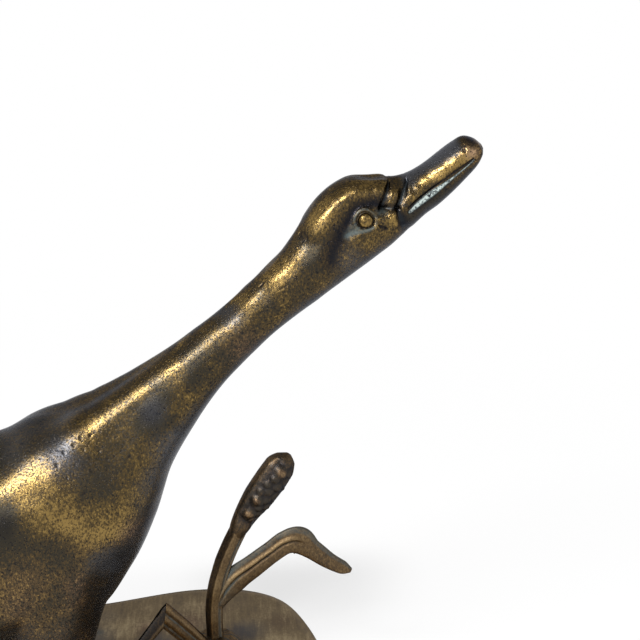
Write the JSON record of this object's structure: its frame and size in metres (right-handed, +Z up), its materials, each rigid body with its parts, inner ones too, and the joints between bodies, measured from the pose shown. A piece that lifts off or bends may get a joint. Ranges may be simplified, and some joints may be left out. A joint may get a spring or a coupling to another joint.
{
  "type": "goose sculpture",
  "caption": "Striding goose with its neck stretched up and forward, on a pebble-shaped base with a cattail and bent reeds.",
  "frame": {"origin": "middle of the base, on the surface that the felt under it rests on", "axes": "+X towards the head, +Z up, the goose's left side is +Y"},
  "size_m": [0.2384, 0.0879, 0.1736],
  "materials": {
    "body_bronze": "worn antique bronze patina, brown-black with golden rub-through",
    "base_bronze": "dull brown patina",
    "plant_bronze": "olive-brown patina with verdigris in the grooves",
    "steel": "plain",
    "felt": "matte felt"
  },
  "bodies": {
    "root": {"base_casting": "base_bronze", "base_felt": "felt", "torso_left_shell": "body_bronze", "torso_right_shell": "body_bronze", "neck_head_casting": "body_bronze", "neck_pin": "steel", "tail_fan": "body_bronze", "left_wing": "body_bronze", "right_wing": "body_bronze", "left_leg": "body_bronze", "right_leg": "body_bronze", "cattail": "plant_bronze", "bent_reed": "plant_bronze", "bent_leaf": "plant_bronze", "root_clump": "plant_bronze", "left_leg_washer": "steel", "left_leg_nut": "steel", "right_leg_washer": "steel", "right_leg_nut": "steel", "clump_washer": "steel", "clump_screw": "steel"}
  },
  "joints": []
}
